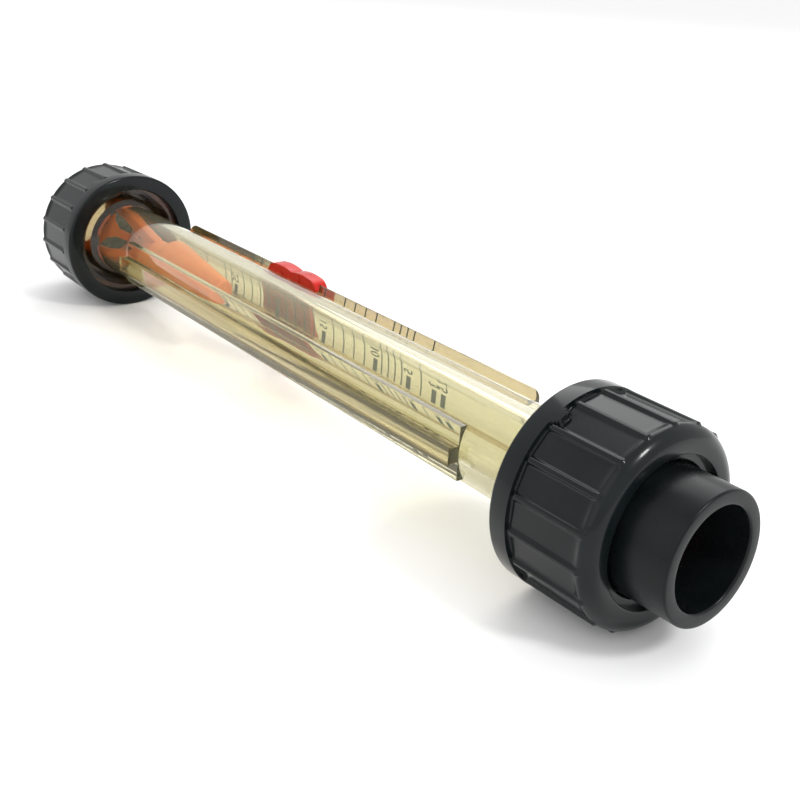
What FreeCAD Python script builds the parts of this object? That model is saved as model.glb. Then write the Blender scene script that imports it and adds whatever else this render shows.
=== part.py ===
import FreeCAD, Part
import os
import Sketcher

# Variable-area flow meter: a clear tapered tube with a cone float inside, a dovetail rail on its
# back, a winged scale panel with a sliding limit pointer on its front, and a pipe socket clamped
# to each end by a union nut. X runs along the tube, with the inlet at +X and the outlet at -X.

TINY = 1e-3

# Driving dimensions, in millimetres, degrees and counts.
DRIVING = {
    "tubeRadius": 17.25,
    "boreInlet": 11.3,
    "boreOutlet": 13.6,
    "collarStart": 153.0,
    "collarEnd": 174.0,
    "socketReach": 30.1,
    "flareLength": 2.5,
    "flareRadius": 20.5,
    "coringRadius": 23.5,
    "coringDepth": 13.0,
    "stopDepth": 19.0,
    "stopBore": 16.1,
    "padHalf": 118.3,
    "padRise": 0.05,
    "railPadHalf": 9.55,
    "railPadDepth": 3.3,
    "railRootHalf": 2.9,
    "railNeckHalf": 2.7,
    "railNeckHeight": 2.7,
    "railHeadHalf": 3.55,
    "railHeight": 4.35,
    "panelHalf": 14.2,
    "panelCorner": 3.0,
    "wingTip": 0.5,
    "wingDepth": 3.1,
    "wingRootZ": 8.7,
    "nutMouth": 149.3,
    "nutBore": 26.0,
    "rimRadius": 33.0,
    "rimRound": 1.1,
    "rimEnd": 156.5,
    "rimStep": 1.0,
    "ribInset": 3.0,
    "ribRise": 0.4,
    "ribNose": 1.2,
    "ribSink": 1.4,
    "gripRadius": 31.9,
    "nutNose": 13.5,
    "frontRound": 5.0,
    "frontRecessRadius": 24.0,
    "frontRecessDepth": 2.5,
    "nutHole": 21.3,
    "ribCount": 18,
    "ribWidth": 2.0,
    "facetMargin": 2.0,
    "facetSink": 0.6,
    "nutPhase": -3.4,
    "threadClearance": 0.08,
    "flangeThickness": 6.9,
    "flangeRadius": 25.5,
    "flangeClearance": 0.1,
    "socketRadius": 20.7,
    "socketBore": 16.1,
    "socketDepth": 22.0,
    "throughBore": 14.0,
    "mouthChamfer": 0.8,
    "sealInner": 19.0,
    "sealOuter": 22.6,
    "sealDepth": 2.4,
    "sealClearance": 0.08,
    "sealBevel": 0.8,
    "stopClearance": 0.1,
    "ringLength": 6.0,
    "ringWall": 1.8,
    "armInset": 2.0,
    "armWidth": 4.6,
    "armCount": 3,
    "armGap": 0.1,
    "armPhase": 90.0,
    "hubRadius": 4.2,
    "hubInset": 1.0,
    "outletPinLength": 38.0,
    "inletPinLength": 3.5,
    "inletPinRadius": 3.2,
    "outletPinRadius": 6.5,
    "finFootLength": 9.0,
    "finFootRadius": 13.2,
    "finTipRadius": 7.2,
    "finTipInset": 0.2,
    "floatGap": 0.2,
    "floatEnd": 55.0,
    "floatEndRadius": 4.6,
    "floatEndRound": 1.4,
    "floatShoulder": 107.0,
    "floatShoulderRadius": 11.7,
    "floatShoulderRound": 4.0,
    "floatNeck": 107.5,
    "stemNeckRadius": 6.0,
    "stemTipRadius": 7.2,
    "pointerCentre": 27.0,
    "pointerHalf": 18.5,
    "pointerTop": 16.5,
    "pointerLobe": 10.5,
    "pointerSide": 10.0,
    "pointerNotch": 15.6,
    "pointerThickness": 3.1,
    "pointerHook": 3.3,
    "pointerRound": 5.0,
    "pointerEdge": 0.9,
    "pointerLip": 12.0,
    "slideClearance": 0.12,
    "slotOvershoot": 1.0,
}

# Values worked out from the driving ones, so that pieces that fit each other follow each other.
DERIVED = {
    "socketEnd": "=collarEnd + socketReach",
    "stopSeat": "=collarEnd - stopDepth",
    "nutFront": "=collarEnd + nutNose",
    "ribEnd": "=nutFront - ribInset",
    "ringStart": "=collarEnd - ringLength",
    "armEnd": "=collarEnd - armInset",
    "hubEnd": "=collarEnd - hubInset",
    "outletPin": "=stopSeat - outletPinLength",
    "inletPin": "=stopSeat - inletPinLength",
    "finFoot": "=stopSeat - finFootLength",
    "finTip": "=outletPin + finTipInset",
    "flareStart": "=collarStart - flareLength",
    "collarRadius": "=nutBore - threadClearance",
    "collarChamfer": "=collarEnd - mouthChamfer",
    "collarChamferRadius": "=collarRadius - mouthChamfer",
    "coringEnd": "=collarStart + coringDepth",
    "sealSeat": "=collarEnd - sealDepth",
    "sealRingStart": "=sealSeat + sealClearance",
    "sealRingInner": "=sealInner + sealClearance",
    "sealRingOuter": "=sealOuter - sealClearance",
    "sealBottomInner": "=sealRingInner + sealBevel",
    "sealBottomOuter": "=sealRingOuter - sealBevel",
    "sealFlank": "=sealRingStart + sealBevel",
    "padPlane": "=tubeRadius + padRise",
    "railPadRoot": "=padPlane - railPadDepth",
    "wingRootY": "=padPlane - wingDepth",
    "pointerFront": "=padPlane + pointerThickness",
    "pointerBack": "=padPlane - pointerHook",
    "railNeck": "=padPlane + railNeckHeight",
    "railTop": "=padPlane + railHeight",
    "wingBack": "=padPlane - wingTip",
    "rimFace": "=rimRadius - rimRound",
    "rimFull": "=nutMouth + rimRound",
    "recessFloor": "=nutFront - frontRecessDepth",
    "flangeBack": "=collarEnd + flangeThickness",
    "nutShoulder": "=flangeBack + flangeClearance",
    "gripLength": "=nutFront - rimEnd",
    "ribRoot": "=gripRadius - ribSink",
    "ribEndRadius": "=gripRadius + ribRise",
    "facet": "=gripRadius - facetSink",
    "ribNoseStart": "=ribEnd - ribNose",
    "ribNoseRadius": "=ribEndRadius - ribNose / 2",
    "ribStart": "=rimEnd + rimStep",
    "facetOuter": "=gripRadius + facetMargin",
    "facetHalf": "=facet * tan(180 deg / ribCount)",
    "facetOuterHalf": "=facetOuter * tan(180 deg / ribCount)",
    "socketChamfer": "=socketEnd - mouthChamfer",
    "socketChamferRadius": "=socketRadius - mouthChamfer",
    "socketMouthRadius": "=socketBore + mouthChamfer",
    "socketStop": "=socketEnd - socketDepth",
    "ringRadius": "=stopBore - stopClearance",
    "ringInner": "=ringRadius - ringWall",
    "ringEnd": "=collarEnd - stopClearance",
    "armLength": "=armEnd - stopSeat",
    "armHalf": "=armWidth / 2",
    "armReach": "=ringRadius - armGap",
    "stemEnd": "=outletPin - floatGap",
    "wingSlope": "=(wingBack - wingRootY) / (panelHalf - wingRootZ)",
    "slotFront": "=padPlane + slideClearance",
    "slotTop": "=panelHalf + slideClearance",
    "slotTipY": "=wingBack - slideClearance",
    "slotLipY": "=slotTipY - (slotTop - pointerLip) * wingSlope",
    "slotOpen": "=pointerBack - slotOvershoot",
    "slotLength": "=pointerHalf * 3",
    "pointerDepth": "=pointerFront - pointerBack",
}


def makeSheet(doc):
    """The spreadsheet that holds every size, one alias to a row."""
    sheet = doc.addObject("Spreadsheet::Sheet", "Sizes")
    rows = list(DRIVING.items()) + list(DERIVED.items())
    for row, (name, value) in enumerate(rows, start=1):
        sheet.set("A%d" % row, name)
        sheet.set("B%d" % row, str(value))
        sheet.setAlias("B%d" % row, name)
    doc.recompute()
    return sheet


def sizeOf(doc, name):
    """The value of one size; a leading minus mirrors it and 0 is the origin."""
    if name == "0":
        return 0.0
    value = float(doc.Sizes.get(name.lstrip("-")))
    return -value if name.startswith("-") else value


def flipped(name):
    """The same size on the other side of the origin."""
    if name == "0":
        return name
    return name[1:] if name.startswith("-") else "-" + name


def towards(side, corners):
    """An outline drawn for the inlet end, mirrored in X for the outlet end."""
    if side == "inlet":
        return corners
    return [(flipped(along), up) for along, up in corners]


def originItem(body, role):
    return next(item for item in body.Origin.OriginFeatures if item.Role == role)


def bindCoordinate(doc, sketch, corner, kind, axis, name):
    """Fixes one coordinate of a corner to a named size, measured from the sketch's origin."""
    if name == "0":
        sketch.addConstraint(Sketcher.Constraint("PointOnObject", corner, 1, axis))
        return
    size = abs(sizeOf(doc, name))
    ends = (corner, 1, -1, 1) if sizeOf(doc, name) < 0 else (-1, 1, corner, 1)
    index = sketch.addConstraint(Sketcher.Constraint(kind, *ends, size))
    label = "%s%d" % ("across" if kind == "DistanceX" else "up", corner)
    sketch.renameConstraint(index, label)
    sketch.setExpression("Constraints." + label, "Sizes." + name.lstrip("-"))


def addOutline(doc, sketch, corners):
    """A closed outline whose corners sit at named sizes."""
    points = [FreeCAD.Vector(sizeOf(doc, x), sizeOf(doc, y), 0) for x, y in corners]
    first = sketch.GeometryCount
    count = len(points)
    for index, start in enumerate(points):
        sketch.addGeometry(Part.LineSegment(start, points[(index + 1) % count]), False)
    for index in range(count):
        following = first + (index + 1) % count
        sketch.addConstraint(Sketcher.Constraint("Coincident", first + index, 2, following, 1))
    for index, (across, up) in enumerate(corners):
        bindCoordinate(doc, sketch, first + index, "DistanceX", -2, across)
        bindCoordinate(doc, sketch, first + index, "DistanceY", -1, up)


def newSketch(doc, body, name, plane, outlines, offset=None):
    """A sketch on one of the body's own planes, moved along its normal by a named size."""
    sketch = body.newObject("Sketcher::SketchObject", name)
    sketch.AttachmentSupport = (originItem(body, plane), [""])
    sketch.MapMode = "FlatFace"
    if offset is not None:
        sketch.setExpression("AttachmentOffset.Base.z", offset)
    for corners in outlines:
        addOutline(doc, sketch, corners)
    doc.recompute()
    return sketch


def revolved(doc, body, kind, name, outlines):
    """A revolution or groove about the tube's axis."""
    sketch = newSketch(doc, body, name + "Profile", "XZ_Plane", outlines)
    feature = body.newObject("PartDesign::" + kind, name)
    feature.Profile = sketch
    feature.ReferenceAxis = (sketch, ["H_Axis"])
    feature.Angle = 360
    return finished(doc, body, feature)


def padded(doc, body, name, sketch, length, symmetric):
    feature = body.newObject("PartDesign::Pad", name)
    feature.Profile = sketch
    feature.setExpression("Length", length)
    feature.Midplane = symmetric
    return finished(doc, body, feature)


def pocketed(doc, body, name, sketch, length, symmetric):
    before = body.Shape.Volume
    feature = body.newObject("PartDesign::Pocket", name)
    feature.Profile = sketch
    feature.setExpression("Length", length)
    feature.Midplane = symmetric
    finished(doc, body, feature)
    if body.Shape.Volume > before - TINY:
        raise RuntimeError(name + " cuts nothing")
    return feature


def patterned(doc, body, name, original, count):
    """Copies of a feature round the tube's axis."""
    feature = body.newObject("PartDesign::PolarPattern", name)
    feature.Originals = [original]
    feature.Axis = (originItem(body, "X_Axis"), [""])
    feature.Angle = 360
    feature.setExpression("Occurrences", count)
    return finished(doc, body, feature)


def filleted(doc, body, name, radius, picked):
    """Rounds the edges of the tip that pass a test."""
    base = body.Tip
    edges = base.Shape.Edges
    names = ["Edge%d" % number for number, edge in enumerate(edges, start=1) if picked(edge)]
    if not names:
        raise RuntimeError(name + " found no edge")
    feature = body.newObject("PartDesign::Fillet", name)
    feature.Base = (base, names)
    feature.setExpression("Radius", radius)
    return finished(doc, body, feature)


def finished(doc, body, feature):
    body.Tip = feature
    doc.recompute()
    return feature


def newBody(doc, label, turn=None):
    """A body named after its node, turned about the tube's axis by a named angle."""
    body = doc.addObject("PartDesign::Body", label)
    body.Placement = FreeCAD.Placement(FreeCAD.Vector(), FreeCAD.Rotation(FreeCAD.Vector(1, 0, 0), 0.0))
    if turn is not None:
        start = FreeCAD.Rotation(FreeCAD.Vector(1, 0, 0), sizeOf(doc, turn))
        body.Placement = FreeCAD.Placement(FreeCAD.Vector(), start)
        body.setExpression("Placement.Rotation.Angle", "Sizes.%s * 1 deg" % turn)
    return body


def rectangle(start, inner, end, outer):
    return [(start, inner), (end, inner), (end, outer), (start, outer)]


def tubeOuter():
    """Half outline of the tube: round barrel, flared into a threaded collar at each end."""
    inlet = [
        ("flareStart", "tubeRadius"),
        ("collarStart", "flareRadius"),
        ("collarStart", "collarRadius"),
        ("collarChamfer", "collarRadius"),
        ("collarEnd", "collarChamferRadius"),
        ("collarEnd", "0"),
    ]
    return towards("outlet", inlet) + inlet[::-1]


def makeTube(doc):
    """Clear tube with its rail, scale panel, tapered bore and cored end collars."""
    body = newBody(doc, "measuring_tube")
    revolved(doc, body, "Revolution", "Barrel", [tubeOuter()])
    railPad = [
        ("-railPadRoot", "-railPadHalf"),
        ("-railPadRoot", "railPadHalf"),
        ("-padPlane", "railPadHalf"),
        ("-padPlane", "railRootHalf"),
        ("-railNeck", "railNeckHalf"),
        ("-railTop", "railHeadHalf"),
        ("-railTop", "-railHeadHalf"),
        ("-railNeck", "-railNeckHalf"),
        ("-padPlane", "-railRootHalf"),
        ("-padPlane", "-railPadHalf"),
    ]
    sketch = newSketch(doc, body, "RailSection", "YZ_Plane", [railPad])
    padded(doc, body, "Rail", sketch, "Sizes.padHalf * 2", True)
    panel = [
        ("wingRootY", "-wingRootZ"),
        ("wingBack", "-panelHalf"),
        ("padPlane", "-panelHalf"),
        ("padPlane", "panelHalf"),
        ("wingBack", "panelHalf"),
        ("wingRootY", "wingRootZ"),
    ]
    sketch = newSketch(doc, body, "PanelSection", "YZ_Plane", [panel])
    padded(doc, body, "ScalePanel", sketch, "Sizes.padHalf * 2", True)
    filleted(doc, body, "PanelCorners", "Sizes.panelCorner", lambda edge: isPanelCorner(doc, edge))
    bore = [
        ("-collarEnd", "0"),
        ("-collarEnd", "stopBore"),
        ("-stopSeat", "stopBore"),
        ("-stopSeat", "boreOutlet"),
        ("stopSeat", "boreInlet"),
        ("stopSeat", "stopBore"),
        ("collarEnd", "stopBore"),
        ("collarEnd", "0"),
    ]
    revolved(doc, body, "Groove", "Bore", [bore])
    rings = []
    for side in ("inlet", "outlet"):
        rings.append(towards(side, rectangle("collarStart", "flareRadius", "coringEnd", "coringRadius")))
        rings.append(towards(side, rectangle("sealSeat", "sealInner", "collarEnd", "sealOuter")))
    revolved(doc, body, "Groove", "CollarGrooves", rings)
    return body


def isPanelCorner(doc, edge):
    """The short upright edges at the four outer corners of the scale panel."""
    box = edge.BoundBox
    across = abs(edge.CenterOfMass.z)
    along = abs(edge.CenterOfMass.x)
    flat = box.XLength < TINY and box.ZLength < TINY and edge.CenterOfMass.y > 0
    atSide = abs(across - sizeOf(doc, "panelHalf")) < TINY
    atEnd = abs(along - sizeOf(doc, "padHalf")) < TINY
    return flat and atSide and atEnd


def makeNut(doc, side):
    """Union nut: round rim, faceted grip with a slim rib on each corner, and a clamping shoulder."""
    body = newBody(doc, side + "_union_nut", "nutPhase")
    outline = [
        ("nutMouth", "nutBore"),
        ("nutMouth", "rimFace"),
        ("rimFull", "rimRadius"),
        ("rimEnd", "rimRadius"),
        ("rimEnd", "gripRadius"),
        ("nutFront", "gripRadius"),
        ("nutFront", "frontRecessRadius"),
        ("recessFloor", "frontRecessRadius"),
        ("recessFloor", "nutHole"),
        ("nutShoulder", "nutHole"),
        ("nutShoulder", "nutBore"),
    ]
    revolved(doc, body, "Revolution", "Shell", [towards(side, outline)])
    front = sizeOf(doc, "nutFront")
    grip = sizeOf(doc, "gripRadius")
    filleted(doc, body, "FrontRound", "Sizes.frontRound", lambda edge: isRim(edge, front, grip))
    facet = [
        ("facet", "-facetHalf"),
        ("facetOuter", "-facetOuterHalf"),
        ("facetOuter", "facetOuterHalf"),
        ("facet", "facetHalf"),
    ]
    offset = "Sizes.nutFront" if side == "inlet" else "-Sizes.rimEnd"
    sketch = newSketch(doc, body, "FacetProfile", "YZ_Plane", [facet], offset)
    pocket = pocketed(doc, body, "Facet", sketch, "Sizes.gripLength", False)
    patterned(doc, body, "Facets", pocket, "Sizes.ribCount")
    rib = [
        ("ribStart", "ribRoot"),
        ("ribStart", "rimFace"),
        ("ribNoseStart", "ribEndRadius"),
        ("ribEnd", "ribNoseRadius"),
        ("ribEnd", "ribRoot"),
    ]
    sketch = newSketch(doc, body, "RibProfile", "XZ_Plane", [towards(side, rib)])
    pad = padded(doc, body, "Rib", sketch, "Sizes.ribWidth", True)
    patterned(doc, body, "Ribs", pad, "Sizes.ribCount")
    return body


def isRim(edge, distance, radius):
    """A circle of a given radius about the X axis, at a distance from the middle."""
    placed = abs(abs(edge.CenterOfMass.x) - distance) < TINY
    return placed and abs(getattr(edge.Curve, "Radius", 0.0) - radius) < TINY


def makeSocket(doc, side):
    """Pipe socket with a flange that the union nut clamps against the tube's collar."""
    body = newBody(doc, side + "_socket")
    outline = [
        ("collarEnd", "throughBore"),
        ("collarEnd", "flangeRadius"),
        ("flangeBack", "flangeRadius"),
        ("flangeBack", "socketRadius"),
        ("socketChamfer", "socketRadius"),
        ("socketEnd", "socketChamferRadius"),
        ("socketEnd", "socketMouthRadius"),
        ("socketChamfer", "socketBore"),
        ("socketStop", "socketBore"),
        ("socketStop", "throughBore"),
    ]
    revolved(doc, body, "Revolution", "Socket", [towards(side, outline)])
    return body


def makeSeal(doc, side):
    """Seal ring in the groove of the collar's end face."""
    body = newBody(doc, side + "_seal_ring")
    outline = [
        ("sealRingStart", "sealBottomInner"),
        ("sealRingStart", "sealBottomOuter"),
        ("sealFlank", "sealRingOuter"),
        ("collarEnd", "sealRingOuter"),
        ("collarEnd", "sealRingInner"),
        ("sealFlank", "sealRingInner"),
    ]
    revolved(doc, body, "Revolution", "Ring", [towards(side, outline)])
    return body


def makeStop(doc, side):
    """Float stop: a pin on a hub, carried by three arms and a ring in the tube's end."""
    body = newBody(doc, side + "_stop", "armPhase")
    pin = side + "Pin"
    hub = [
        (pin, "0"),
        (pin, pin + "Radius"),
        ("stopSeat", "hubRadius"),
        ("hubEnd", "hubRadius"),
        ("hubEnd", "0"),
    ]
    revolved(doc, body, "Revolution", "Hub", [towards(side, hub)])
    arm = [("0", "-armHalf"), ("armReach", "-armHalf"), ("armReach", "armHalf"), ("0", "armHalf")]
    offset = "Sizes.stopSeat" if side == "inlet" else "-Sizes.armEnd"
    sketch = newSketch(doc, body, "ArmSection", "YZ_Plane", [arm], offset)
    pad = padded(doc, body, "Arm", sketch, "Sizes.armLength", False)
    patterned(doc, body, "Arms", pad, "Sizes.armCount")
    if side == "outlet":
        addFins(doc, body)
    ring = rectangle("ringStart", "ringInner", "ringEnd", "ringRadius")
    revolved(doc, body, "Revolution", "Rim", [towards(side, ring)])
    return body


def addFins(doc, body):
    """Fins that run from the outlet stop's arms down to the tip of its long pin."""
    fin = [
        ("stopSeat", "0"),
        ("stopSeat", "finFootRadius"),
        ("finFoot", "finFootRadius"),
        ("finTip", "finTipRadius"),
        ("finTip", "0"),
    ]
    sketch = newSketch(doc, body, "FinProfile", "XY_Plane", [towards("outlet", fin)])
    pad = padded(doc, body, "Fin", sketch, "Sizes.armWidth", True)
    patterned(doc, body, "Fins", pad, "Sizes.armCount")


def makeFloat(doc):
    """Cone float: a stem, a rounded shoulder that is read against the scale, and a slim cone."""
    body = newBody(doc, "float")
    outline = [
        ("-stemEnd", "0"),
        ("-stemEnd", "stemTipRadius"),
        ("-floatNeck", "stemNeckRadius"),
        ("-floatShoulder", "floatShoulderRadius"),
        ("-floatEnd", "floatEndRadius"),
        ("-floatEnd", "0"),
    ]
    revolved(doc, body, "Revolution", "Cone", [outline])
    place = sizeOf(doc, "floatShoulder")
    radius = sizeOf(doc, "floatShoulderRadius")
    filleted(doc, body, "Shoulder", "Sizes.floatShoulderRound", lambda edge: isRim(edge, place, radius))
    end = sizeOf(doc, "floatEnd")
    tip = sizeOf(doc, "floatEndRadius")
    filleted(doc, body, "Tip", "Sizes.floatEndRound", lambda edge: isRim(edge, end, tip))
    return body


def makePointer(doc):
    """Limit pointer: a plate with two lobes that hooks round both wings of the scale panel."""
    body = newBody(doc, "limit_pointer")
    body.setExpression("Placement.Base.x", "-Sizes.pointerCentre")
    quarter = [("pointerHalf", "pointerSide"), ("pointerLobe", "pointerTop")]
    left = towards("outlet", quarter[::-1])
    upper = quarter + [("0", "pointerNotch")] + left
    lower = [(along, flipped(up)) for along, up in upper[::-1]]
    sketch = newSketch(doc, body, "PlateOutline", "XZ_Plane", [upper + lower], "-Sizes.pointerFront")
    padded(doc, body, "Plate", sketch, "Sizes.pointerDepth", False)
    filleted(doc, body, "Lobes", "Sizes.pointerRound", lambda edge: isLobeEdge(doc, edge))
    front = sizeOf(doc, "pointerFront")
    filleted(doc, body, "FrontEdge", "Sizes.pointerEdge", lambda edge: isAtFront(edge, front))
    slot = [
        ("slotFront", "slotTop"),
        ("slotTipY", "slotTop"),
        ("slotLipY", "pointerLip"),
        ("slotOpen", "pointerLip"),
    ]
    mirrored = [(depth, flipped(up)) for depth, up in slot[::-1]]
    sketch = newSketch(doc, body, "SlotSection", "YZ_Plane", [slot + mirrored])
    pocketed(doc, body, "Slot", sketch, "Sizes.slotLength", True)
    return body


def isLobeEdge(doc, edge):
    """The depth-wise edges of the plate, apart from the notch between the lobes."""
    box = edge.BoundBox
    return box.XLength < TINY and box.ZLength < TINY and abs(edge.CenterOfMass.x) > TINY


def isAtFront(edge, front):
    return edge.BoundBox.YLength < TINY and abs(edge.CenterOfMass.y - front) < TINY


def checkDocument(doc, bodies):
    """Stops on a broken feature or an empty or invalid solid."""
    for item in doc.Objects:
        if "Invalid" in item.State or "Error" in item.State:
            raise RuntimeError("%s is %s" % (item.Label, item.State))
    for body in bodies:
        if body.Shape.isNull() or not body.Shape.isValid():
            raise RuntimeError(body.Label + " has no valid shape")
        if len(body.Shape.Solids) != 1:
            raise RuntimeError(body.Label + " isn't one solid")


def main():
    doc = FreeCAD.newDocument("FlowMeter")
    makeSheet(doc)
    bodies = [makeTube(doc), makeFloat(doc), makePointer(doc)]
    for side in ("inlet", "outlet"):
        bodies.append(makeNut(doc, side))
        bodies.append(makeSocket(doc, side))
        bodies.append(makeSeal(doc, side))
        bodies.append(makeStop(doc, side))
    doc.recompute()
    checkDocument(doc, bodies)
    os.makedirs("parts", exist_ok=True)
    for body in bodies:
        body.Shape.exportStep("parts/%s.step" % body.Label)
        print(body.Label, round(body.Shape.Volume, 1), body.Shape.BoundBox)


main()
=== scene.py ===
from math import atan2, cos, degrees, hypot, pi, radians, sin

import bmesh
import bpy
from mathutils import Matrix, Vector


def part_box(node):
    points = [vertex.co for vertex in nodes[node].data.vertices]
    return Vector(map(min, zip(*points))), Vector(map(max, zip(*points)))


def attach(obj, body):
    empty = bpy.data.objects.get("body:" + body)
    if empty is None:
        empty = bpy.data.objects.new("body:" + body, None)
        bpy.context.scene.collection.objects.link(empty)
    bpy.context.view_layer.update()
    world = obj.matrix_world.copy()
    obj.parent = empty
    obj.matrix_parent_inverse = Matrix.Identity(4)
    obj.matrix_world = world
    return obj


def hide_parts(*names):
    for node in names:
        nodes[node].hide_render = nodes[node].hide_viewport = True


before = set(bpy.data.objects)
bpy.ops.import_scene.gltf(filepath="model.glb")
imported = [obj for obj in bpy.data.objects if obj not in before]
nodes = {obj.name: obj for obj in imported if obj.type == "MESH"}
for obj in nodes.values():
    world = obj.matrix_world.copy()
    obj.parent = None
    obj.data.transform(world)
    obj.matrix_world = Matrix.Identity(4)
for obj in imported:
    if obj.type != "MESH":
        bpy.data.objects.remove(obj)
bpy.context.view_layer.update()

mm = 0.001
meterBody = "meter_body"

# All sizes are in millimetres, and mm turns them into metres.
# These are the ones that several pieces share, read off the frame where it holds them.
nutLow, nutHigh = (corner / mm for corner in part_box("inlet_union_nut"))
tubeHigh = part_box("measuring_tube")[1] / mm
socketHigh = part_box("inlet_socket")[1] / mm
closeBy = 0.01  # two places nearer than this count as one
weldGap = 1e-7  # metres
fit = {
    "nutMouth": nutLow.x,
    "nutFront": nutHigh.x,
    "nutRadius": 33.0,
    "nutBore": 26.0,
    "collarEnd": tubeHigh.x,
    "collarRadius": tubeHigh.z,
    "tubeRadius": 17.25,
    "padHalf": 118.3,  # half the length of the rail and of the scale panel
    "padPlane": 17.3,  # from the axis to the flat of the pad and of the panel
    "panelHalf": 14.2,
    "socketEnd": socketHigh.x,
}


# Runs smoothly from 0 at low to 1 at high.
def smoothStep(low, high, value):
    share = min(1.0, max(0.0, (value - low) / (high - low)))
    return share * share * (3 - 2 * share)


def spread(start, end, count):
    return [start + (end - start) * step / (count - 1) for step in range(count)]


# The turns are in degrees.
def arc(centre, radius, start, end, count):
    turns = [radians(turn) for turn in spread(start, end, count)]
    return [(centre[0] + radius * cos(turn), centre[1] + radius * sin(turn)) for turn in turns]


# A profile holds (distance along the tube, radius) pairs in millimetres. One that starts and ends
# on the axis closes there, and any other is a ring.
def spun(profile, steps):
    bm = bmesh.new()
    points = [bm.verts.new((along * mm, 0, radius * mm)) for along, radius in profile]
    edges = [bm.edges.new(pair) for pair in zip(points, points[1:])]
    if profile[0][1] > 0:
        edges.append(bm.edges.new((points[-1], points[0])))
    bmesh.ops.spin(bm, geom=points + edges, cent=(0, 0, 0), axis=(1, 0, 0), dvec=(0, 0, 0),
                   angle=2 * pi, steps=steps, use_merge=True, use_normal_flip=False, use_duplicate=False)
    bmesh.ops.remove_doubles(bm, verts=bm.verts, dist=weldGap)
    bmesh.ops.recalc_face_normals(bm, faces=bm.faces)
    return bm


# The outline's pairs lie across the axis, x or y, along which the shape runs from start to end.
def extruded(outline, axis, start, end):
    bm = bmesh.new()
    order = {"x": lambda a, b: (start, a, b), "y": lambda a, b: (a, start, b)}[axis]
    points = [bm.verts.new(Vector(order(a, b)) * mm) for a, b in outline]
    face = bm.faces.new(points)
    made = bmesh.ops.extrude_face_region(bm, geom=[face])["geom"]
    moved = [item for item in made if isinstance(item, bmesh.types.BMVert)]
    reach = (end - start) * mm
    bmesh.ops.translate(bm, verts=moved, vec=(reach, 0, 0) if axis == "x" else (0, reach, 0))
    bmesh.ops.recalc_face_normals(bm, faces=bm.faces)
    return bm


def sharpEdges(bm, angle):
    shared = [edge for edge in bm.edges if len(edge.link_faces) == 2]
    return [edge for edge in shared if edge.calc_face_angle() > radians(angle)]


def rounded(bm, edges, width, segments):
    bmesh.ops.bevel(bm, geom=edges, offset=width * mm, segments=segments, profile=0.5,
                    affect="EDGES", material=-1, clamp_overlap=True)
    return bm


# The edges of a spun shape that run round it at one place of its profile.
def ringEdges(bm, along, radius, slack=0.02):
    def sits(vert):
        offAxis = hypot(vert.co.y, vert.co.z) / mm
        return abs(vert.co.x / mm - along) < slack and abs(offAxis - radius) < slack
    return [edge for edge in bm.edges if all(sits(vert) for vert in edge.verts)]


def shaded(bm, angle=35):
    for face in bm.faces:
        face.smooth = True
    for edge in sharpEdges(bm, angle):
        edge.smooth = False
    return bm


def madeObject(name, bm):
    mesh = bpy.data.meshes.new(name)
    bm.to_mesh(mesh)
    bm.free()
    piece = bpy.data.objects.new(name, mesh)
    bpy.context.collection.objects.link(piece)
    return piece


# Joins or cuts with another piece, which is used up.
def combined(base, other, operation):
    modifier = base.modifiers.new("combine", "BOOLEAN")
    modifier.operation = operation
    modifier.solver = "EXACT"
    modifier.object = other
    graph = bpy.context.evaluated_depsgraph_get()
    result = bpy.data.meshes.new_from_object(base.evaluated_get(graph))
    base.modifiers.clear()
    base.data = result
    bpy.data.objects.remove(other)
    return base


def reshaded(piece, angle=35):
    bm = bmesh.new()
    bm.from_mesh(piece.data)
    bmesh.ops.remove_doubles(bm, verts=bm.verts, dist=weldGap)
    shaded(bm, angle)
    bm.to_mesh(piece.data)
    bm.free()
    return piece


# Gives a finished piece its material and the body that it moves with, and hides the node that it stands for.
def settled(piece, material, body, replaced=None):
    piece.data.materials.clear()
    piece.data.materials.append(material)
    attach(piece, body)
    if replaced:
        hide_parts(replaced)
    return piece


# The shapes are made for the inlet end, where side is 1, and turned over for the outlet end, where it is -1.
def mirrored(bm, side):
    if side < 0:
        bmesh.ops.scale(bm, verts=bm.verts, vec=(-1, 1, 1))
        bmesh.ops.reverse_faces(bm, faces=bm.faces)
        bmesh.ops.recalc_face_normals(bm, faces=bm.faces)
    return bm


# Each value sets either a property of the node or one of its sockets.
def addNode(tree, kind, **values):
    node = tree.nodes.new(kind)
    for name, value in values.items():
        if hasattr(node, name) and name not in node.inputs:
            setattr(node, name, value)
        else:
            node.inputs[name].default_value = value
    return node


def startMaterial(name):
    material = bpy.data.materials.new(name)
    material.use_nodes = True
    tree = material.node_tree
    return material, tree, tree.nodes["Principled BSDF"]


def noise(tree, place, scale, detail, stretch=(1, 1, 1)):
    mapping = addNode(tree, "ShaderNodeMapping")
    mapping.inputs["Scale"].default_value = stretch
    pattern = addNode(tree, "ShaderNodeTexNoise", Scale=scale, Detail=detail)
    tree.links.new(place.outputs["Object"], mapping.inputs["Vector"])
    tree.links.new(mapping.outputs["Vector"], pattern.inputs["Vector"])
    return pattern


def rampBetween(tree, source, low, high, start=0.35, end=0.65):
    ramp = addNode(tree, "ShaderNodeValToRGB")
    ramp.color_ramp.elements[0].position = start
    ramp.color_ramp.elements[1].position = end
    ramp.color_ramp.elements[0].color = (*low, 1)
    ramp.color_ramp.elements[1].color = (*high, 1)
    tree.links.new(source, ramp.inputs["Fac"])
    return ramp.outputs["Color"]


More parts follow.
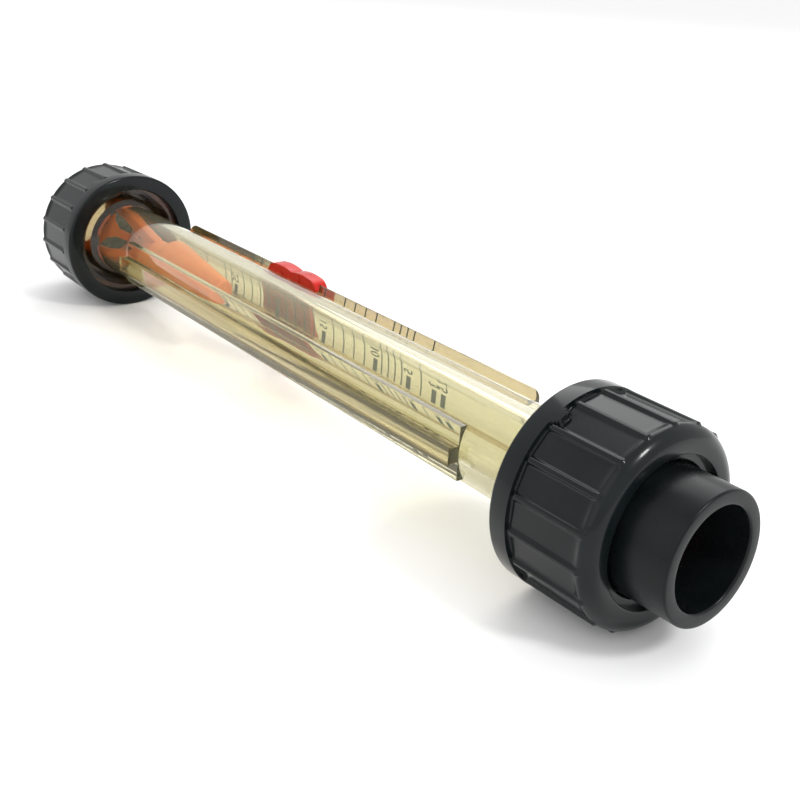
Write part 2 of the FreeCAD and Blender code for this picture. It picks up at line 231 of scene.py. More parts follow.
def rangeBetween(tree, source, low, high):
    span = addNode(tree, "ShaderNodeMapRange")
    span.inputs["From Min"].default_value = 0.3
    span.inputs["From Max"].default_value = 0.7
    span.inputs["To Min"].default_value = low
    span.inputs["To Max"].default_value = high
    tree.links.new(source, span.inputs["Value"])
    return span.outputs["Result"]


def mouldedPlastic(name, look):
    material, tree, shader = startMaterial(name)
    place = addNode(tree, "ShaderNodeTexCoord")
    mottle = noise(tree, place, look["mottleScale"], 4)
    grain = noise(tree, place, look["grainScale"], 2)
    colour = rampBetween(tree, mottle.outputs["Fac"], look["dark"], look["light"])
    tree.links.new(colour, shader.inputs["Base Color"])
    rough = rangeBetween(tree, mottle.outputs["Fac"], *look["roughness"])
    tree.links.new(rough, shader.inputs["Roughness"])
    bump = addNode(tree, "ShaderNodeBump", Strength=look["bump"], Distance=0.0001)
    tree.links.new(grain.outputs["Fac"], bump.inputs["Height"])
    tree.links.new(bump.outputs["Normal"], shader.inputs["Normal"])
    shader.inputs["IOR"].default_value = look["ior"]
    shader.inputs["Specular IOR Level"].default_value = look.get("specular", 0.5)
    shader.inputs["Coat Weight"].default_value = look.get("coat", 0.0)
    shader.inputs["Coat Roughness"].default_value = 0.08
    return material


# Colours are linear, and the scales of the patterns are counts per metre.
plasticLooks = {
    "nutPlastic": {
        "dark": (0.0025, 0.0045, 0.005), "light": (0.005, 0.0075, 0.008), "roughness": (0.19, 0.27),
        "mottleScale": 70, "grainScale": 2500, "bump": 0.1, "ior": 1.45, "specular": 0.17, "coat": 0.2,
    },
    "socketPlastic": {
        "dark": (0.0035, 0.005, 0.0055), "light": (0.006, 0.008, 0.0085), "roughness": (0.24, 0.33),
        "mottleScale": 90, "grainScale": 2500, "bump": 0.1, "ior": 1.45, "specular": 0.2,
    },
    "floatPlastic": {
        "dark": (0.86, 0.21, 0.035), "light": (0.93, 0.27, 0.055), "roughness": (0.35, 0.45),
        "mottleScale": 120, "grainScale": 1800, "bump": 0.1, "ior": 1.48,
    },
    "stopPlastic": {
        "dark": (0.66, 0.12, 0.008), "light": (0.74, 0.16, 0.014), "roughness": (0.32, 0.42),
        "mottleScale": 120, "grainScale": 1800, "bump": 0.1, "ior": 1.48,
    },
    "pointerPlastic": {
        "dark": (0.46, 0.009, 0.005), "light": (0.56, 0.014, 0.008), "roughness": (0.25, 0.34),
        "mottleScale": 110, "grainScale": 2000, "bump": 0.1, "ior": 1.49, "specular": 0.25,
    },
    "sealRubber": {
        "dark": (0.01, 0.01, 0.01), "light": (0.02, 0.02, 0.02), "roughness": (0.55, 0.7),
        "mottleScale": 200, "grainScale": 3000, "bump": 0.2, "ior": 1.5,
    },
}
# The clear plastic is one piece. Its rail, wings and collars get darker copies of its material, painted
# shade that makes them look darker than the barrel.
clearLooks = {
    "clearAmber": {
        "dark": (0.72, 0.69, 0.49), "light": (0.76, 0.73, 0.53), "roughness": (0.01, 0.04),
        "transmission": 0.955, "wave": 0.02,
    },
    # Painted shade: a darker, hazier copy of the clear plastic for the rail.
    "railPaintedShade": {
        "dark": (0.38, 0.3, 0.11), "light": (0.66, 0.55, 0.26), "roughness": (0.05, 0.12),
        "transmission": 0.9, "wave": 0.1,
    },
    # Painted shade: a darker copy of the clear plastic for the wings' inner faces.
    "wingPaintedShade": {
        "dark": (0.48, 0.35, 0.15), "light": (0.56, 0.42, 0.19), "roughness": (0.02, 0.06),
        "transmission": 0.93, "wave": 0.05,
    },
    # Painted shade: a dark copy of the clear plastic for the collars inside the nuts.
    "collarPaintedShade": {
        "dark": (0.33, 0.21, 0.08), "light": (0.4, 0.25, 0.1), "roughness": (0.08, 0.16),
        "transmission": 0.97, "wave": 0.1,
    },
}
clearShared = {"ior": 1.5, "specular": 0.35, "shadow": (0.93, 0.92, 0.89)}
inkLook = {"dark": (0.012, 0.07, 0.1), "light": (0.024, 0.1, 0.135), "roughness": 0.5}


# Broad streaks and fine lines run lengthwise, as in drawn plastic. Shadow rays pass through, so the
# lamps light what is inside.
def clearPlastic(name, look):
    material, tree, shader = startMaterial(name)
    place = addNode(tree, "ShaderNodeTexCoord")
    streaks = noise(tree, place, 420, 3, stretch=(0.03, 1, 1))
    rough = rangeBetween(tree, streaks.outputs["Fac"], *look["roughness"])
    tree.links.new(rough, shader.inputs["Roughness"])
    bump = addNode(tree, "ShaderNodeBump", Strength=look["wave"], Distance=0.0003)
    tree.links.new(streaks.outputs["Fac"], bump.inputs["Height"])
    tree.links.new(bump.outputs["Normal"], shader.inputs["Normal"])
    lines = noise(tree, place, 2600, 2, stretch=(0.004, 1, 1))
    colour = rampBetween(tree, lines.outputs["Fac"], look["dark"], look["light"])
    tree.links.new(colour, shader.inputs["Base Color"])
    shader.inputs["Transmission Weight"].default_value = look["transmission"]
    shader.inputs["Specular IOR Level"].default_value = clearShared["specular"]
    shader.inputs["IOR"].default_value = clearShared["ior"]
    lamps = addNode(tree, "ShaderNodeBsdfTransparent", Color=(*clearShared["shadow"], 1))
    path = addNode(tree, "ShaderNodeLightPath")
    mix = addNode(tree, "ShaderNodeMixShader")
    output = tree.nodes["Material Output"]
    tree.links.new(path.outputs["Is Shadow Ray"], mix.inputs["Fac"])
    tree.links.new(shader.outputs["BSDF"], mix.inputs[1])
    tree.links.new(lamps.outputs["BSDF"], mix.inputs[2])
    tree.links.new(mix.outputs["Shader"], output.inputs["Surface"])
    return material


def printInk():
    material, tree, shader = startMaterial("printInk")
    place = addNode(tree, "ShaderNodeTexCoord")
    wear = noise(tree, place, 900, 5)
    colour = rampBetween(tree, wear.outputs["Fac"], inkLook["dark"], inkLook["light"])
    tree.links.new(colour, shader.inputs["Base Color"])
    shader.inputs["Roughness"].default_value = inkLook["roughness"]
    return material


finishes = {name: mouldedPlastic(name, look) for name, look in plasticLooks.items()}
for name, look in clearLooks.items():
    finishes[name] = clearPlastic(name, look)
finishes["printInk"] = printInk()
print("stage: finishes made")


tube = {
    "flareStart": 150.5,  # places along the tube are counted from its middle
    "collarStart": 153.0,
    "flareRadius": 20.5,
    "coringRadius": 23.5,
    "coringEnd": 166.0,
    "mouthCut": 0.8,
    "collarRings": 70,
    "sealSeat": 171.6,
    "sealInner": 19.0,
    "sealOuter": 22.6,
    "stopSeat": 155.0,
    "stopBore": 16.1,
    "boreInlet": 11.3,
    "boreOutlet": 13.6,
    "railPadHalf": 9.55,
    "railPadRoot": 14.0,
    "railRootHalf": 2.9,
    "railNeckHalf": 2.7,
    "railNeck": 20.0,
    "railHeadHalf": 3.55,
    "railTop": 21.65,
    "panelCorner": 3.0,
    "wingTip": 0.5,
    "wingRoot": (14.2, 8.7),  # depth and height
    "edgeRound": 0.25,
    "threadPitch": 3.0,
    "threadDepth": 1.0,
    "threadNarrow": 1.6,
    "threadStart": (0.6, 2.5),  # the groove deepens over this span
    "threadEnd": (1.2, 2.5),
    "paintedShadeFrom": 18.5,  # painted shade: the collar is darker from this radius on, where it sits inside the nut
    "steps": 144,
}


def collarOutline():
    size = tube
    mouth = fit["collarEnd"] - size["mouthCut"]
    return [
        (size["flareStart"], fit["tubeRadius"]),
        (size["collarStart"], size["flareRadius"]),
        (size["coringEnd"], size["flareRadius"]),
        (size["coringEnd"], size["coringRadius"]),
        (size["collarStart"], size["coringRadius"]),
        *[(along, fit["collarRadius"]) for along in spread(size["collarStart"], mouth, size["collarRings"])],
        (fit["collarEnd"], fit["collarRadius"] - size["mouthCut"]),
        (fit["collarEnd"], size["sealOuter"]),
        (size["sealSeat"], size["sealOuter"]),
        (size["sealSeat"], size["sealInner"]),
        (fit["collarEnd"], size["sealInner"]),
        (fit["collarEnd"], size["stopBore"]),
        (size["stopSeat"], size["stopBore"]),
    ]


# Presses a winding groove into the collars. It only goes inwards, so a nut turns freely round it.
def cutThreads(bm):
    size = tube
    fadeIn = [size["collarStart"] + reach for reach in size["threadStart"]]
    fadeOut = [fit["collarEnd"] - reach for reach in size["threadEnd"][::-1]]
    for vert in bm.verts:
        along, radius = abs(vert.co.x) / mm, hypot(vert.co.y, vert.co.z) / mm
        if radius < fit["collarRadius"] - closeBy:
            continue
        turns = atan2(vert.co.z, vert.co.y) / (2 * pi)
        place = (along / size["threadPitch"] - turns) % 1
        fade = smoothStep(*fadeIn, along) * (1 - smoothStep(*fadeOut, along))
        depth = size["threadDepth"] * fade * max(0.0, 1 - abs(2 * place - 1) * size["threadNarrow"])
        vert.co.y *= 1 - depth / radius
        vert.co.z *= 1 - depth / radius
    return bm


def buildTube():
    inlet = collarOutline()
    outlet = [(-along, radius) for along, radius in inlet[::-1]]
    bores = [(tube["stopSeat"], tube["boreInlet"]), (-tube["stopSeat"], tube["boreOutlet"])]
    barrel = madeObject("measuringTube", cutThreads(spun(inlet + bores + outlet, tube["steps"])))
    combined(barrel, madeObject("railPart", buildRail()), "UNION")
    combined(barrel, madeObject("panelPart", buildPanel()), "UNION")
    combined(barrel, madeObject("borePart", buildBore()), "DIFFERENCE")
    reshaded(barrel)
    settled(barrel, finishes["clearAmber"], meterBody, "measuring_tube")
    paintShadeOnParts(barrel)


# The rail, the collars and the wings' inner faces each get a darker copy of the clear material as painted
# shade.
def paintShadeOnParts(barrel):
    for name in ("railPaintedShade", "collarPaintedShade", "wingPaintedShade"):
        barrel.data.materials.append(finishes[name])
    rail, collar, wing = 1, 2, 3
    wingDepth, wingUp = tube["wingRoot"]
    for face in barrel.data.polygons:
        along, depth, up = face.center / mm
        # Painted shade on the rail's faces.
        if depth < -fit["padPlane"] - 0.001:
            face.material_index = rail
        # Painted shade on the wings' inner faces.
        if depth > wingDepth and abs(up) > wingUp:
            face.material_index = wing
        # Painted shade on the collars where they sit inside the nuts.
        if abs(along) > tube["flareStart"] and hypot(depth, up) > tube["paintedShadeFrom"]:
            face.material_index = collar


# Reopens the bore where the rail and the panel were joined on.
def buildBore():
    overlap = 1.0
    length = fit["padHalf"] + overlap
    slope = (tube["boreInlet"] - tube["boreOutlet"]) / (2 * tube["stopSeat"])
    middle = (tube["boreInlet"] + tube["boreOutlet"]) / 2
    ends = [(-length, middle - slope * length), (length, middle + slope * length)]
    return spun([(-length, 0)] + ends + [(length, 0)], tube["steps"])


def buildRail():
    half = [
        (-tube["railPadRoot"], tube["railPadHalf"]),
        (-fit["padPlane"], tube["railPadHalf"]),
        (-fit["padPlane"], tube["railRootHalf"]),
        (-tube["railNeck"], tube["railNeckHalf"]),
        (-tube["railTop"], tube["railHeadHalf"]),
    ]
    section = half + [(depth, -up) for depth, up in half[::-1]]
    bm = extruded(section, "x", -fit["padHalf"], fit["padHalf"])
    clearOfRoot = -(tube["railPadRoot"] + 0.5) * mm
    edges = [edge for edge in sharpEdges(bm, 20) if all(vert.co.y < clearOfRoot for vert in edge.verts)]
    return rounded(bm, edges, tube["edgeRound"], 2)


def buildPanel():
    rootDepth, rootUp = tube["wingRoot"]
    tip = fit["padPlane"] - tube["wingTip"]
    half = [(rootDepth, rootUp), (tip, fit["panelHalf"]), (fit["padPlane"], fit["panelHalf"])]
    section = half + [(depth, -up) for depth, up in half[::-1]]
    bm = extruded(section, "x", -fit["padHalf"], fit["padHalf"])
    corners = [edge for edge in sharpEdges(bm, 20) if isPanelCorner(edge)]
    rounded(bm, corners, tube["panelCorner"], 6)
    return bm


def isPanelCorner(edge):
    first, second = (vert.co / mm for vert in edge.verts)
    acrossPanel = abs(first.x - second.x) < closeBy and abs(first.z - second.z) < closeBy
    return acrossPanel and abs(abs(first.z) - fit["panelHalf"]) < closeBy


buildTube()
print("stage: tube built")


scale = {
    "depth": 0.06,
    "sink": 0.12,  # how far the print lies under the panel's face
    "digitHeight": 5.4,
    "fontShare": 1.37,  # the font's size over its digits' height
    "digitNarrow": 0.8,
    "digitEnd": -1.3,
    "digitWeight": 0.1,
    "barSpan": (-9.8, -2.4),
    "barWidth": 2.6,
    "lineSpan": (-9.8, 14.0),
    "lineWidth": 0.75,
    "labels": {2.5, 3, 5, 10, 15, 20, 25},
    "values": [2.5, 3, 4] + list(range(5, 26)),
    "topMarks": [-72.4, -77.7, -94.7],
    # Each row holds for the values below the first number: the value and the place that it
    # counts from, and the distance from one whole value to the next.
    "divisions": [(3, 3, 71.7, 10.4), (5, 5, 56.9, 7.4), (10, 10, 36.4, 4.1), (26, 10, 36.4, 7.0)],
}


def scalePlace(value):
    for limit, known, place, step in scale["divisions"]:
        if value < limit:
            return place + (known - value) * step


def flatBar(bm, along, width, low, high):
    made = bmesh.ops.create_cube(bm, size=1.0)["verts"]
    bmesh.ops.scale(bm, verts=made, vec=(width * mm, scale["depth"] * mm, (high - low) * mm))
    centre = (along * mm, (fit["padPlane"] - scale["sink"]) * mm, (low + high) / 2 * mm)
    bmesh.ops.translate(bm, verts=made, vec=centre)


def buildMarks():
    bm = bmesh.new()
    for value in scale["values"]:
        place = scalePlace(value)
        if value in scale["labels"]:
            flatBar(bm, place, scale["barWidth"], *scale["barSpan"])
        else:
            flatBar(bm, place, scale["lineWidth"], *scale["lineSpan"])
    for place in scale["topMarks"]:
        flatBar(bm, place, scale["lineWidth"], *scale["lineSpan"])
    marks = madeObject("scaleMarks", bm)
    settled(marks, finishes["printInk"], meterBody)


def buildNumeral(value):
    words = bpy.data.curves.new("numeralText", "FONT")
    words.body = "%g" % value
    words.size = scale["digitHeight"] * scale["fontShare"] * mm
    words.offset = scale["digitWeight"] * mm
    words.extrude = scale["depth"] * mm / 2
    words.align_x = "RIGHT"
    words.align_y = "CENTER"
    source = bpy.data.objects.new("numeralSource", words)
    bpy.context.collection.objects.link(source)
    graph = bpy.context.evaluated_depsgraph_get()
    mesh = bpy.data.meshes.new_from_object(source.evaluated_get(graph))
    bpy.data.objects.remove(source)
    turn = Matrix(((0, -1, 0), (0, 0, 1), (-scale["digitNarrow"], 0, 0))).to_4x4()
    start = Vector((scalePlace(value), fit["padPlane"] - scale["sink"], scale["digitEnd"])) * mm
    mesh.transform(Matrix.Translation(start) @ turn)
    name = ("numeral%g" % value).replace(".", "_")
    piece = bpy.data.objects.new(name, mesh)
    bpy.context.collection.objects.link(piece)
    settled(piece, finishes["printInk"], meterBody)


buildMarks()
for value in sorted(scale["labels"]):
    buildNumeral(value)
print("stage: scale printed")


nut = {
    "ribs": 18,
    "rimRound": 1.1,
    "rimEnd": 156.5,
    "rimStep": (0.1, 0.3),  # the rim steps down over this span about its edge
    "groove": 0.35,  # how deep the line behind the rim is
    "grooveHalf": 0.5,
    "ribStart": 157.6,
    "ribEnd": 184.5,
    "ribHalf": 0.95,
    "ribFlank": 0.45,
    "ribRise": (0.4, 0.5),  # a rib rises over this span about its start
    "ribFall": 0.9,
    "ribTop": (33.0, 32.7),  # radius at the rim and at the front
    "corner": 31.85,
    "frontRadius": 32.35,
    "frontRound": 5.5,
    "facetEnd": (181.2, 184.6),  # the facets fade into the round front over this span
    "recessRadius": 24.0,
    "recessFloor": 185.0,
    "hole": 21.3,
    "shoulder": 181.0,
    "edgeRound": 0.5,
    "phase": 6.6,  # degrees
    "lobe": {"centre": 119.0, "half": 6.5, "reach": 2.6},  # the rim's tab, its centre and half in degrees
    "gripFrom": (155.5, 27.0),  # place and radius from which the grip is shaped
    "finePlaces": (155.6, 159.2, 19),
    "gripPlaces": (159.6, 24),
    "stepsPerRib": 24,
    "crowding": 0.6,  # draws the steps together at the ribs
}


def nutProfile():
    size = nut
    rimCentre = (fit["nutMouth"] + size["rimRound"], fit["nutRadius"] - size["rimRound"])
    rim = arc(rimCentre, size["rimRound"], 180, 90, 5)
    rollStart = fit["nutFront"] - size["frontRound"]
    gripStart, gripCount = size["gripPlaces"]
    step = [(along, fit["nutRadius"]) for along in spread(*size["finePlaces"])]
    grip = [(along, size["frontRadius"]) for along in spread(gripStart, rollStart, gripCount)]
    roll = arc((rollStart, size["frontRadius"] - size["frontRound"]), size["frontRound"], 86, 0, 20)
    inside = [
        (fit["nutFront"], size["recessRadius"]),
        (size["recessFloor"], size["recessRadius"]),
        (size["recessFloor"], size["hole"]),
        (size["shoulder"], size["hole"]),
        (size["shoulder"], fit["nutBore"]),
        (fit["nutMouth"], fit["nutBore"]),
    ]
    return rim + step + grip + roll + inside


# Degrees from the nearest rib.
def ribAngle(angle):
    pitch = 360 / nut["ribs"]
    return abs((angle - nut["phase"] + pitch / 2) % pitch - pitch / 2)


# The radius of the nut's outside at one place: a round rim with a tab, then flat facets with a rib
# at each corner, which fade into the round front.
def gripRadius(along, radius, angle):
    size = nut
    pitch = 360 / size["ribs"]
    away = ribAngle(angle)
    facet = cos(radians(pitch / 2)) / cos(radians(pitch / 2 - away))
    lobe = size["lobe"]
    fromLobe = abs((angle - lobe["centre"] + 180) % 360 - 180)
    rimEdge = size["rimEnd"] + lobe["reach"] * (1 - smoothStep(lobe["half"] / 2, lobe["half"], fromLobe))
    lathe = min(radius, size["frontRadius"])
    flatness = 1 - smoothStep(*size["facetEnd"], along)
    body = min(lathe, lathe + (size["corner"] * facet - lathe) * flatness)
    grooveCentre = rimEdge + 0.9 * size["grooveHalf"]
    body -= size["groove"] * max(0.0, 1 - abs(along - grooveCentre) / size["grooveHalf"])
    share = (along - size["rimEnd"]) / (size["ribEnd"] - size["rimEnd"])
    crest = size["ribTop"][0] + (size["ribTop"][1] - size["ribTop"][0]) * share
    ribStart = size["ribStart"] + rimEdge - size["rimEnd"]
    lengthwise = smoothStep(ribStart - size["ribRise"][0], ribStart + size["ribRise"][1], along)
    lengthwise *= 1 - smoothStep(size["ribEnd"] - size["ribFall"], size["ribEnd"], along)
    across = radians(away) * body
    ridge = 1 - smoothStep(size["ribHalf"] - size["ribFlank"], size["ribHalf"] + size["ribFlank"], across)
    raised = body + (crest - body) * ridge * lengthwise
    pastRim = smoothStep(rimEdge - size["rimStep"][0], rimEdge + size["rimStep"][1], along)
    return fit["nutRadius"] + (raised - fit["nutRadius"]) * pastRim


def buildNut(side, name):
    bm = spun(nutProfile(), nut["ribs"] * nut["stepsPerRib"])
    pitch = radians(360 / nut["ribs"])
    shapedPlace, shapedRadius = nut["gripFrom"]
    for vert in bm.verts:
        along, radius = vert.co.x / mm, hypot(vert.co.y, vert.co.z) / mm
        turns = atan2(vert.co.z, vert.co.y) / pitch
        angle = pitch * (turns - nut["crowding"] * sin(2 * pi * turns) / (2 * pi)) + radians(nut["phase"])
        if along > shapedPlace and radius > shapedRadius:
            radius = gripRadius(along, radius, degrees(angle))
        vert.co.y, vert.co.z = radius * mm * cos(angle), radius * mm * sin(angle)
    edges = ringEdges(bm, nut["recessFloor"], nut["hole"]) + ringEdges(bm, fit["nutMouth"], fit["nutBore"])
    edges += ringEdges(bm, fit["nutFront"], nut["recessRadius"])
    rounded(bm, edges, nut["edgeRound"], 3)
    shaded(mirrored(bm, side), 60)
    piece = madeObject(name, bm)
    node = "inlet_union_nut" if side > 0 else "outlet_union_nut"
    settled(piece, finishes["nutPlastic"], node, node)


buildNut(1, "inletNut")
buildNut(-1, "outletNut")
print("stage: nuts built")


socket = {
    "flangeRadius": 25.5,
    "flangeBack": 180.9,
    "radius": 20.7,
    "bore": 16.1,
    "pipeStop": 182.1,
    "throughBore": 14.0,
    "edgeRound": 0.8,
    "steps": 160,
}


def buildSocket(side, name):
    size = socket
    profile = [
        (fit["collarEnd"], size["throughBore"]),
        (fit["collarEnd"], size["flangeRadius"]),
        (size["flangeBack"], size["flangeRadius"]),
        (size["flangeBack"], size["radius"]),
        (fit["socketEnd"], size["radius"]),
        (fit["socketEnd"], size["bore"]),
        (size["pipeStop"], size["bore"]),
        (size["pipeStop"], size["throughBore"]),
    ]
    bm = spun(profile, size["steps"])
    edges = ringEdges(bm, fit["socketEnd"], size["radius"]) + ringEdges(bm, fit["socketEnd"], size["bore"])
    rounded(bm, edges, size["edgeRound"], 4)
    shaded(mirrored(bm, side))
    piece = madeObject(name, bm)
    node = "inlet_socket" if side > 0 else "outlet_socket"
    settled(piece, finishes["socketPlastic"], meterBody, node)


buildSocket(1, "inletSocket")
buildSocket(-1, "outletSocket")
print("stage: sockets built")


# Each pair is a distance from the tube's middle, towards the outlet, and a radius.
floatSizes = {
    "stem": (116.8, 7.2),
    "stemRound": 0.4,
    "neck": (104.8, 5.8),
    "neckRound": 0.8,
    "shoulder": (104.2, 11.3),
    "shoulderRound": 5.0,
    "end": (55.0, 4.6),
    "endRound": 1.3,
    "steps": 128,
}
# The pin, the tip and the leg are outlines of distance and radius. Starts are given by side.
stop = {
    "hubRadius": 4.2,
    "hubStart": {1: 155.0, -1: 169.0},
    "hubEnd": 173.0,
    "hubRound": 0.8,
    "turns": (90, 210, 330),
    "armStart": {1: 164.0, -1: 169.0},
    "armEnd": 172.0,
    "armHalf": 2.3,
    "armReach": 15.9,
    "armRound": 0.3,
    "legHalf": 2.4,
    "legRound": 0.7,
    "noseRound": 0.4,
    "ring": (168.0, 173.9, 14.2, 16.0),  # start, end, inner and outer radius
    "pin": [(151.5, 0), (151.5, 3.2), (155.0, 4.2), (156.0, 0)],
    "tip": [(117.0, 0), (117.0, 6.5), (126.0, 5.0), (130.0, 0)],
    "leg": [(172.0, 11.5), (172.0, 15.9), (155.3, 15.9), (155.3, 13.2), (146.0, 13.2), (117.2, 7.2),
            (117.2, 0), (122.0, 0), (126.0, 3.5), (150.0, 9.5)],
    "steps": 96,
}


def buildFloat():
    size = floatSizes
    parts = ("stem", "neck", "shoulder", "end")
    places = {part: (-size[part][0], size[part][1]) for part in parts}
    ends = [(places["stem"][0], 0), (places["end"][0], 0)]
    bm = spun([ends[0]] + [places[part] for part in parts] + [ends[1]], size["steps"])
    for part, segments in (("shoulder", 12), ("neck", 4), ("stem", 3), ("end", 6)):
        rounded(bm, ringEdges(bm, *places[part]), size[part + "Round"], segments)
    piece = madeObject("coneFloat", shaded(bm))
    settled(piece, finishes["floatPlastic"], "float", "float")


def turned(bm, turn):
    bmesh.ops.rotate(bm, verts=bm.verts, cent=(0, 0, 0), matrix=Matrix.Rotation(radians(turn), 3, "X"))
    return bm


def buildLeg(turn):
    half = stop["legHalf"]
    leg = extruded(stop["leg"], "y", -half, half)
    rounded(leg, sharpEdges(leg, 20), stop["legRound"], 3)
    return turned(leg, turn - 90)


def buildArm(side, turn):
    start, reach = stop["armStart"][side], stop["armReach"]
    length = stop["armEnd"] - start
    arm = bmesh.new()
    bmesh.ops.create_cube(arm, size=1.0)
    bmesh.ops.scale(arm, verts=arm.verts, vec=Vector((length, reach, 2 * stop["armHalf"])) * mm)
    bmesh.ops.translate(arm, verts=arm.verts, vec=Vector((start + length / 2, reach / 2, 0)) * mm)
    turned(arm, turn)
    return rounded(arm, sharpEdges(arm, 20), stop["armRound"], 2)


# Both stops have a hub, three arms and a ring. The inlet's has a pin for the float to rest on, and
# the outlet's has three legs that slant to a tip.
def buildStop(side, name):
    size = stop
    hubStart, hubEnd, hubRadius = size["hubStart"][side], size["hubEnd"], size["hubRadius"]
    hub = spun([(hubStart, 0), (hubStart, hubRadius), (hubEnd, hubRadius), (hubEnd, 0)], size["steps"])
    rounded(hub, ringEdges(hub, hubEnd, hubRadius), size["hubRound"], 4)
    piece = madeObject(name, hub)
    nose = size["pin"] if side > 0 else size["tip"]
    tip = spun(nose, size["steps"])
    rounded(tip, ringEdges(tip, *nose[1]), size["noseRound"], 3)
    combined(piece, madeObject("tipPart", tip), "UNION")
    low, high, inner, outer = size["ring"]
    ring = spun([(low, inner), (low, outer), (high, outer), (high, inner)], size["steps"])
    for turn in size["turns"]:
        combined(piece, madeObject("armPart", buildArm(side, turn)), "UNION")
        if side < 0:
            combined(piece, madeObject("legPart", buildLeg(turn)), "UNION")
    combined(piece, madeObject("ringPart", ring), "UNION")
    bm = bmesh.new()
    bm.from_mesh(piece.data)
    mirrored(bm, side)
    bmesh.ops.remove_doubles(bm, verts=bm.verts, dist=weldGap)
    shaded(bm)
    bm.to_mesh(piece.data)
    bm.free()
    node = "inlet_stop" if side > 0 else "outlet_stop"
    settled(piece, finishes["stopPlastic"], meterBody, node)


buildFloat()
buildStop(1, "inletStop")
buildStop(-1, "outletStop")
print("stage: float and stops built")


pointer = {
    "centre": -27.0,
    "lobe": (8.0, 16.5),  # each half has its highest place here
    "lobeEnd": 13.0,
    "lobeDip": 1.0,
    "endRound": 5.5,
    "front": 20.4,
    "back": 14.0,
    "edgeRound": 0.9,
    "lip": 12.0,
    "clearance": 0.12,
    "slotReach": 30.0,
}


# Two shallow lobes with a dip between them and round ends.
def pointerOutline():
    size = pointer
    crest, top = size["lobe"]
    places = spread(0.0, size["lobeEnd"], 9)
    rim = [(along, top - size["lobeDip"] * ((along - crest) / crest) ** 2) for along in places]
    endUp = rim[-1][1]
    rim += arc((size["lobeEnd"], endUp - size["endRound"]), size["endRound"], 85, 0, 9)
    upper = [(-along, up) for along, up in rim[:0:-1]] + rim
    return upper + [(along, -up) for along, up in upper[::-1]]


def buildPointer():
    size = pointer
    outline = [(size["centre"] + along, up) for along, up in pointerOutline()]
    bm = extruded(outline, "y", size["back"], size["front"])
    face = (size["front"] - closeBy) * mm
    front = [edge for edge in sharpEdges(bm, 60) if all(vert.co.y > face for vert in edge.verts)]
    rounded(bm, front, size["edgeRound"], 4)
    piece = madeObject("limitPointer", bm)
    rootDepth, rootUp = tube["wingRoot"]  # the slot follows the panel's wings
    tip = fit["padPlane"] - tube["wingTip"]
    slope = (tip - rootDepth) / (fit["panelHalf"] - rootUp)
    slotTop = fit["panelHalf"] + size["clearance"]
    tipDepth = tip - size["clearance"]
    half = [
        (fit["padPlane"] + size["clearance"], slotTop),
        (tipDepth, slotTop),
        (tipDepth - (slotTop - size["lip"]) * slope, size["lip"]),
        (size["back"] - 1.0, size["lip"]),
    ]
    section = half + [(depth, -up) for depth, up in half[::-1]]
    slot = extruded(section, "x", size["centre"] - size["slotReach"], size["centre"] + size["slotReach"])
    combined(piece, madeObject("slotPart", slot), "DIFFERENCE")
    reshaded(piece)
    settled(piece, finishes["pointerPlastic"], "limit_pointer", "limit_pointer")


buildPointer()
for side in ("inlet", "outlet"):
    ring = nodes[side + "_seal_ring"].data
    ring.materials.clear()
    ring.materials.append(finishes["sealRubber"])
print("stage: pointer built")


# Metres and watts.
studio = {
    "floorSize": 24.0,
    "floorColour": (0.93, 0.93, 0.93),
    "worldColour": (1.0, 1.0, 1.0),
    "worldStrength": 1.0,
    "lamps": [
        {"place": (-0.7, 0.95, 1.3), "aim": (0.1, 0, 0), "size": 1.3, "power": 12},
        {"place": (1.2, 0.3, 1.1), "aim": (0.17, 0, 0), "size": 0.25, "power": 10},
        {"place": (0.2, -1.5, 1.0), "aim": (0, 0, 0), "size": 2.0, "power": 6},
    ],
    "cameraPlace": (0.3545, -0.2382, 0.1587),
    "cameraForward": (-0.7285, 0.5976, -0.3349),
    "cameraUp": (-0.2954, 0.1670, 0.9407),
    "lens": 50.75,
    "shiftUp": -0.1,
}


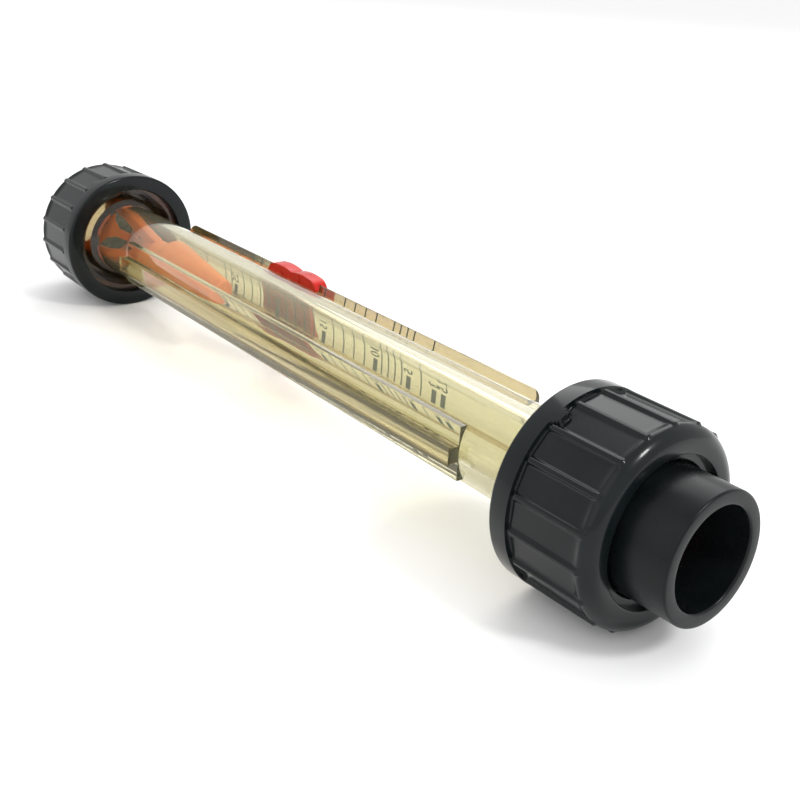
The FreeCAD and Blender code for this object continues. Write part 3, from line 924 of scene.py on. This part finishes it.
def buildFloor():
    bm = bmesh.new()
    bmesh.ops.create_grid(bm, x_segments=1, y_segments=1, size=studio["floorSize"] / 2)
    bmesh.ops.translate(bm, verts=bm.verts, vec=(0, 0, -fit["nutRadius"] * mm))
    floor = madeObject("studioFloor", bm)
    material, tree, shader = startMaterial("floorPaper")
    place = addNode(tree, "ShaderNodeTexCoord")
    tone = studio["floorColour"]
    paper = noise(tree, place, 6, 2)
    colour = rampBetween(tree, paper.outputs["Fac"], tuple(value * 0.995 for value in tone), tone)
    tree.links.new(colour, shader.inputs["Base Color"])
    shader.inputs["Roughness"].default_value = 0.9
    floor.data.materials.append(material)


def buildLights():
    world = bpy.data.worlds.new("studioWorld")
    bpy.context.scene.world = world
    world.use_nodes = True
    sky = world.node_tree.nodes["Background"]
    sky.inputs["Color"].default_value = (*studio["worldColour"], 1)
    sky.inputs["Strength"].default_value = studio["worldStrength"]
    for number, lamp in enumerate(studio["lamps"], start=1):
        light = bpy.data.lights.new("softbox%d" % number, "AREA")
        light.size = lamp["size"]
        light.energy = lamp["power"]
        holder = bpy.data.objects.new("softbox%d" % number, light)
        bpy.context.collection.objects.link(holder)
        holder.location = lamp["place"]
        aim = Vector(lamp["aim"]) - Vector(lamp["place"])
        holder.rotation_euler = aim.to_track_quat("-Z", "Y").to_euler()


def buildCamera():
    lens = bpy.data.cameras.new("productCamera")
    camera = bpy.data.objects.new("productCamera", lens)
    bpy.context.collection.objects.link(camera)
    forward = Vector(studio["cameraForward"]).normalized()
    right = forward.cross(Vector(studio["cameraUp"])).normalized()
    up = right.cross(forward)
    turn = Matrix((right, up, -forward)).transposed()
    camera.matrix_world = Matrix.Translation(studio["cameraPlace"]) @ turn.to_4x4()
    lens.lens = studio["lens"]
    lens.sensor_width = 36.0
    lens.shift_y = studio["shiftUp"]
    lens.clip_start = 0.01
    bpy.context.scene.camera = camera


buildFloor()
buildLights()
buildCamera()
bpy.context.scene.view_settings.view_transform = "Standard"
print("stage: studio set")
